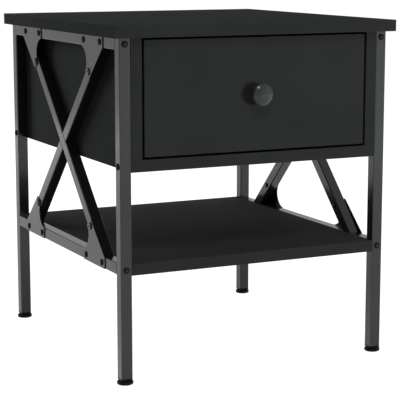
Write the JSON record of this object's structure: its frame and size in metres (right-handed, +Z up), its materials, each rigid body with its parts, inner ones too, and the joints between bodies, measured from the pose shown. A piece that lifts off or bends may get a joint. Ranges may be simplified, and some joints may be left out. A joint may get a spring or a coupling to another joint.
{
  "type": "side table with drawer",
  "caption": "Square side table with an overhanging top, a knobbed drawer, an open shelf and X-braced square-tube steel side frames on round feet.",
  "frame": {"origin": "on the floor, under the centre of the outer box, which reaches from the knob at the front to the back edge of the table top", "axes": "+Z up, +Y towards the back of the table, +X towards its right side as seen from the front"},
  "size_m": [0.4, 0.4306, 0.45],
  "materials": {
    "frame_steel": "matte dark grey powder coat",
    "board": "matte black melamine-faced board",
    "drawer_board": "matte dark melamine-faced board",
    "foot_plastic": "satin black moulded plastic",
    "screw_steel": "black oxide",
    "runner_steel": "zinc-plated",
    "roller_plastic": "off-white moulded plastic",
    "knob_metal": "satin dark grey"
  },
  "bodies": {
    "frame": {"brace_lower_bar_left": "frame_steel", "brace_lower_bar_right": "frame_steel", "brace_through_bar_left": "frame_steel", "brace_through_bar_right": "frame_steel", "brace_upper_bar_left": "frame_steel", "brace_upper_bar_right": "frame_steel", "cabinet_runner_left": "runner_steel", "cabinet_runner_right": "runner_steel", "carcass_back": "board", "carcass_bottom": "board", "carcass_screw_front_left": "screw_steel", "carcass_screw_front_right": "screw_steel", "carcass_screw_rear_left": "screw_steel", "carcass_screw_rear_right": "screw_steel", "carcass_side_left": "board", "carcass_side_right": "board", "foot_cap_front_left": "foot_plastic", "foot_cap_front_right": "foot_plastic", "foot_cap_rear_left": "foot_plastic", "foot_cap_rear_right": "foot_plastic", "gusset_lower_front_left": "frame_steel", "gusset_lower_front_right": "frame_steel", "gusset_lower_rear_left": "frame_steel", "gusset_lower_rear_right": "frame_steel", "gusset_upper_front_left": "frame_steel", "gusset_upper_front_right": "frame_steel", "gusset_upper_rear_left": "frame_steel", "gusset_upper_rear_right": "frame_steel", "leg_front_left": "frame_steel", "leg_front_right": "frame_steel", "leg_rear_left": "frame_steel", "leg_rear_right": "frame_steel", "lower_rail_screw_front_left": "screw_steel", "lower_rail_screw_front_right": "screw_steel", "lower_rail_screw_rear_left": "screw_steel", "lower_rail_screw_rear_right": "screw_steel", "lower_side_rail_left": "frame_steel", "lower_side_rail_right": "frame_steel", "shelf": "board", "table_top": "board", "upper_rail_screw_front_left": "screw_steel", "upper_rail_screw_front_right": "screw_steel", "upper_rail_screw_rear_left": "screw_steel", "upper_rail_screw_rear_right": "screw_steel", "upper_side_rail_left": "frame_steel", "upper_side_rail_right": "frame_steel"},
    "drawer": {"drawer_back": "drawer_board", "drawer_bottom": "drawer_board", "drawer_front": "board", "drawer_runner_left": "runner_steel", "drawer_runner_right": "runner_steel", "drawer_side_left": "drawer_board", "drawer_side_right": "drawer_board", "knob": "knob_metal", "knob_screw": "screw_steel"},
    "cabinet_roller_left": {"cabinet_roller_left": "roller_plastic"},
    "cabinet_roller_right": {"cabinet_roller_right": "roller_plastic"},
    "drawer_roller_left": {"drawer_roller_left": "roller_plastic"},
    "drawer_roller_right": {"drawer_roller_right": "roller_plastic"}
  },
  "joints": [
    {"name": "drawer_slide", "type": "slide", "parent": "frame", "child": "drawer", "axis": [0, -1, 0], "range_m": [0, 0.26]},
    {"name": "cabinet_roller_left_spin", "type": "hinge", "parent": "frame", "child": "cabinet_roller_left", "pos_m": [-0.15425, -0.16525, 0.3085], "axis": [1, 0, 0], "range_deg": [-10, 2500]},
    {"name": "drawer_roller_left_spin", "type": "hinge", "parent": "drawer", "child": "drawer_roller_left", "pos_m": [-0.15425, 0.15475, 0.3085], "axis": [1, 0, 0], "range_deg": [-10, 2500]},
    {"name": "cabinet_roller_right_spin", "type": "hinge", "parent": "frame", "child": "cabinet_roller_right", "pos_m": [0.15425, -0.16525, 0.3085], "axis": [1, 0, 0], "range_deg": [-10, 2500]},
    {"name": "drawer_roller_right_spin", "type": "hinge", "parent": "drawer", "child": "drawer_roller_right", "pos_m": [0.15425, 0.15475, 0.3085], "axis": [1, 0, 0], "range_deg": [-10, 2500]}
  ],
  "couplings": [
    {"joint": "cabinet_roller_left_spin", "follows": "drawer_slide", "rad_per_m": 166.67},
    {"joint": "drawer_roller_left_spin", "follows": "drawer_slide", "rad_per_m": 166.67},
    {"joint": "cabinet_roller_right_spin", "follows": "drawer_slide", "rad_per_m": 166.67},
    {"joint": "drawer_roller_right_spin", "follows": "drawer_slide", "rad_per_m": 166.67}
  ]
}
